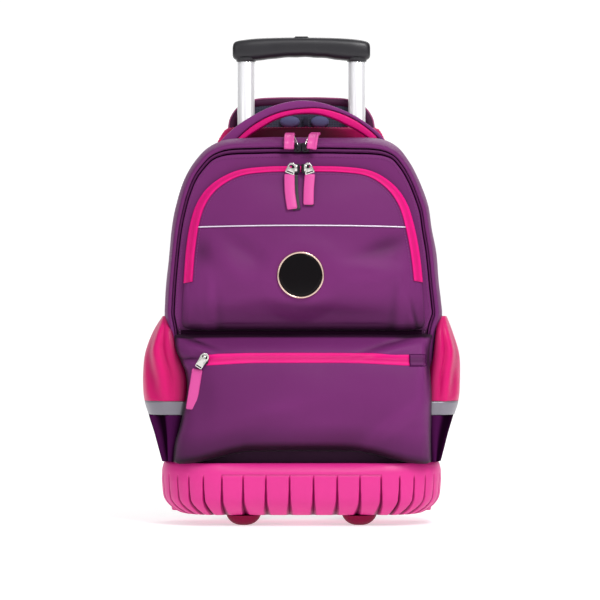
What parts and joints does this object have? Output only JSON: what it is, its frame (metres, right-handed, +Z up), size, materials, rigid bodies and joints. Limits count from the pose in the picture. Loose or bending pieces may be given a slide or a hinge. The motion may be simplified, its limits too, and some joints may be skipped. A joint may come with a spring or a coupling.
{
  "type": "wheeled school backpack",
  "caption": "Soft school backpack with front and side pockets, a ribbed moulded base, trolley wheels, a telescopic tube handle, a carry handle and shoulder straps.",
  "frame": {"origin": "on the floor, under the middle of the bounding box", "axes": "+Z up along the trolley tubes, -Y out of the front pockets, +X towards the side that a viewer facing the front sees on the right"},
  "size_m": [0.366, 0.2081, 0.5736],
  "materials": {
    "purple_nylon": "smooth coated polyester",
    "dark_purple_nylon": "smooth coated polyester, in shade",
    "magenta_nylon": "smooth coated polyester",
    "magenta_zip_tape": "woven tape with a coated face",
    "pink_rubber": "satin moulded rubber",
    "pink_pull_tab": "satin moulded rubber",
    "navy_mesh": "padded air mesh",
    "reflective_grey": "glass-bead reflective tape",
    "reflective_piping": "glass-bead reflective cord",
    "crimson_tyre": "matt moulded rubber",
    "black_plastic": "fine grained moulding",
    "black_enamel": "domed gloss",
    "pale_gold": "polished plating",
    "polished_aluminium": "bright anodised",
    "bright_steel": "nickel plate"
  },
  "bodies": {
    "bag": {"main_shell": "purple_nylon", "front_panel": "purple_nylon", "main_zipper": "dark_purple_nylon", "rear_gusset": "magenta_nylon", "back_panel": "navy_mesh", "yoke_pad_left": "navy_mesh", "yoke_pad_right": "navy_mesh", "hang_loop": "navy_mesh", "upper_pocket": "purple_nylon", "upper_pocket_zipper": "magenta_zip_tape", "reflective_piping": "reflective_piping", "badge_ring": "pale_gold", "badge_disc": "black_enamel", "lower_pocket": "purple_nylon", "lower_pocket_zipper": "magenta_zip_tape", "zipper_end_tab": "dark_purple_nylon", "side_pocket_upper_left": "magenta_nylon", "side_pocket_upper_right": "magenta_nylon", "side_pocket_band_left": "reflective_grey", "side_pocket_band_right": "reflective_grey", "side_pocket_lower_left": "dark_purple_nylon", "side_pocket_lower_right": "dark_purple_nylon", "base_shell": "pink_rubber", "foot_left": "crimson_tyre", "foot_right": "crimson_tyre", "trolley_chassis": "black_plastic", "axle_left": "bright_steel", "axle_right": "bright_steel", "outer_tube_left": "polished_aluminium", "outer_tube_right": "polished_aluminium", "carry_handle": "purple_nylon", "carry_handle_trim": "magenta_zip_tape", "shoulder_strap_left": "navy_mesh", "shoulder_strap_right": "navy_mesh", "strap_buckle_left": "black_plastic", "strap_buckle_right": "black_plastic", "strap_webbing_left": "dark_purple_nylon", "strap_webbing_right": "dark_purple_nylon", "main_slider_left": "bright_steel", "main_slider_right": "bright_steel", "main_pull_left": "pink_pull_tab", "main_pull_right": "pink_pull_tab", "upper_slider_left": "bright_steel", "upper_slider_right": "bright_steel", "upper_pull_left": "pink_pull_tab", "upper_pull_right": "pink_pull_tab", "lower_slider": "bright_steel", "lower_pull": "pink_pull_tab"},
    "wheel_left": {"wheel_hub_left": "black_plastic", "wheel_tyre_left": "crimson_tyre"},
    "wheel_right": {"wheel_hub_right": "black_plastic", "wheel_tyre_right": "crimson_tyre"},
    "handle_middle": {"middle_tube_left": "polished_aluminium", "middle_tube_right": "polished_aluminium"},
    "handle_grip": {"inner_tube_left": "polished_aluminium", "inner_tube_right": "polished_aluminium", "grip": "black_plastic"}
  },
  "joints": [
    {"name": "wheel_left_roll", "type": "hinge", "parent": "bag", "child": "wheel_left", "pos_m": [-0.066, 0.072, 0.03], "axis": [1, 0, 0], "continuous": true},
    {"name": "wheel_right_roll", "type": "hinge", "parent": "bag", "child": "wheel_right", "pos_m": [0.066, 0.072, 0.03], "axis": [1, 0, 0], "continuous": true},
    {"name": "handle_lower_stage", "type": "slide", "parent": "bag", "child": "handle_middle", "axis": [0, 0, 1], "range_m": [-0.055, 0.17]},
    {"name": "handle_upper_stage", "type": "slide", "parent": "handle_middle", "child": "handle_grip", "axis": [0, 0, 1], "range_m": [0, 0.24]}
  ]
}
